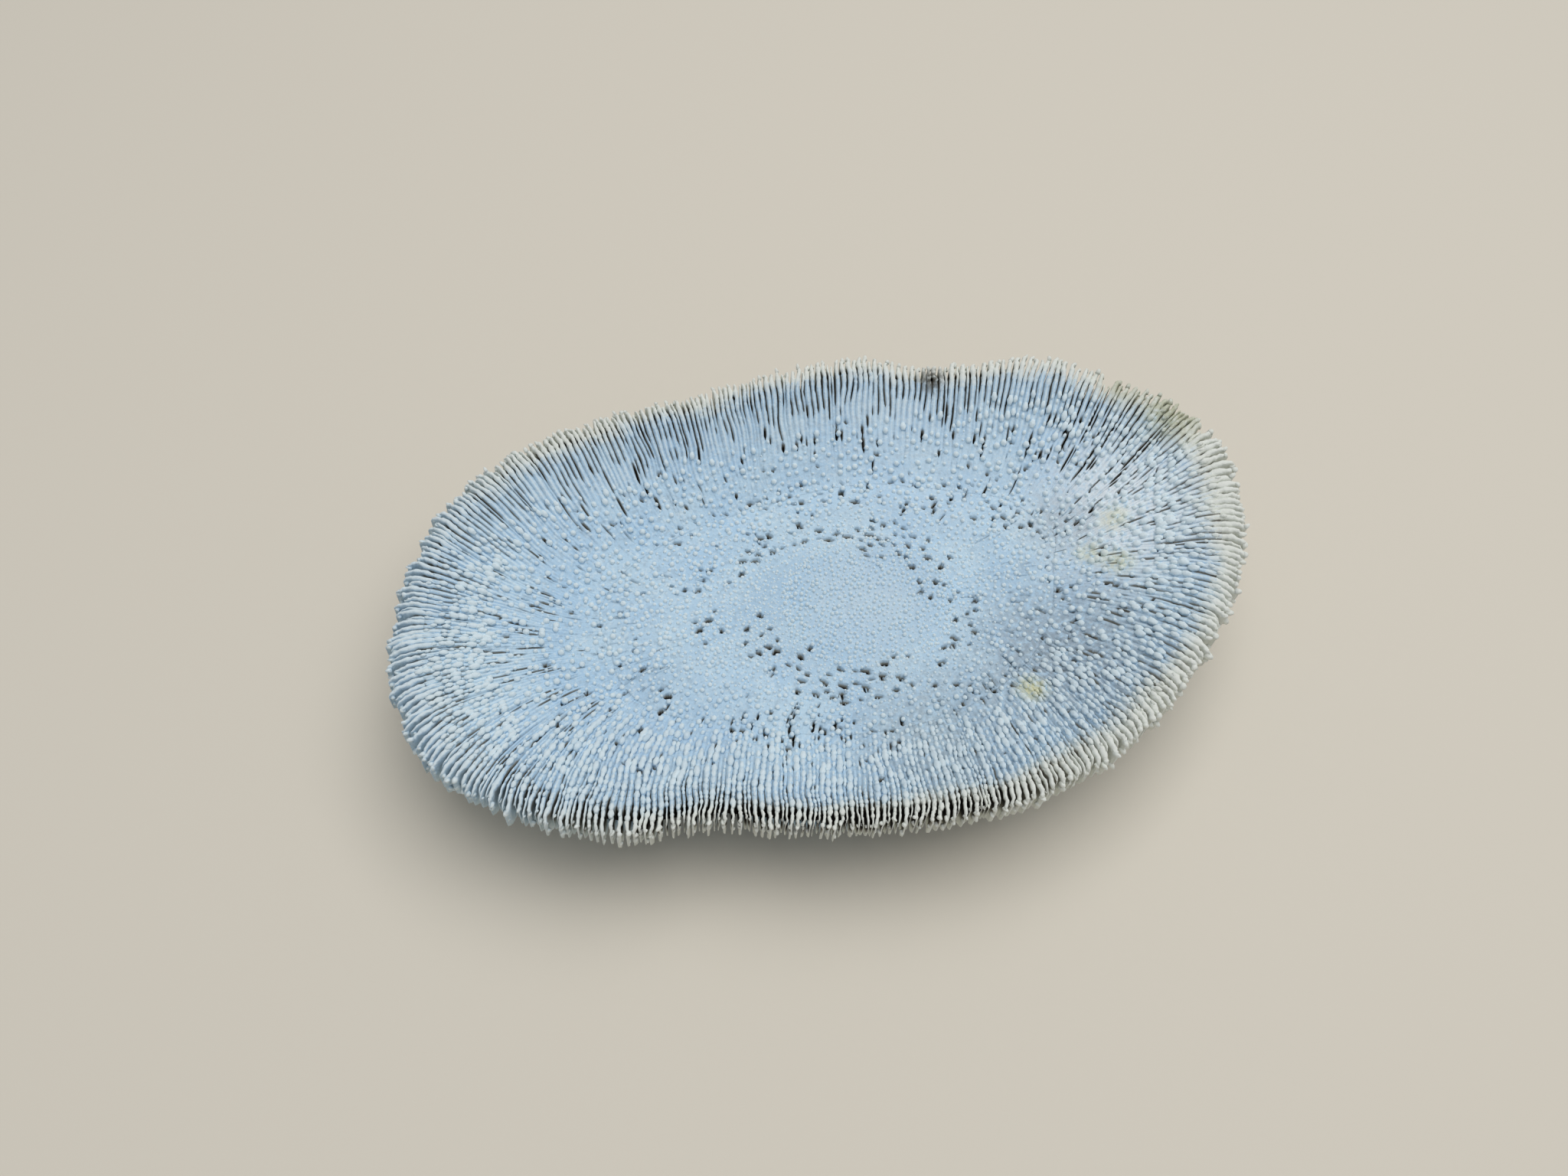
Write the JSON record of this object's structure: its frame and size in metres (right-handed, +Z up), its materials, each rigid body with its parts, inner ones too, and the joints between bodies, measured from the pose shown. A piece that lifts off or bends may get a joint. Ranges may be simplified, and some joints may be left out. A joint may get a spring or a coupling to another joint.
{
  "type": "mushroom coral skeleton",
  "caption": "Elongate mushroom coral skeleton lying with its spiny underside up: a shallow dish whose ridges run from a scar to a comb of fins round the rim.",
  "frame": {"origin": "on the surface that the skeleton rests on, under the middle of its bounding box", "axes": "+X along the skeleton, +Y across it, +Z up, with the spiny underside facing up"},
  "size_m": [0.1882, 0.116, 0.0296],
  "materials": {
    "coral": "matte"
  },
  "bodies": {
    "root": {"coral_skeleton": "coral"}
  },
  "joints": []
}
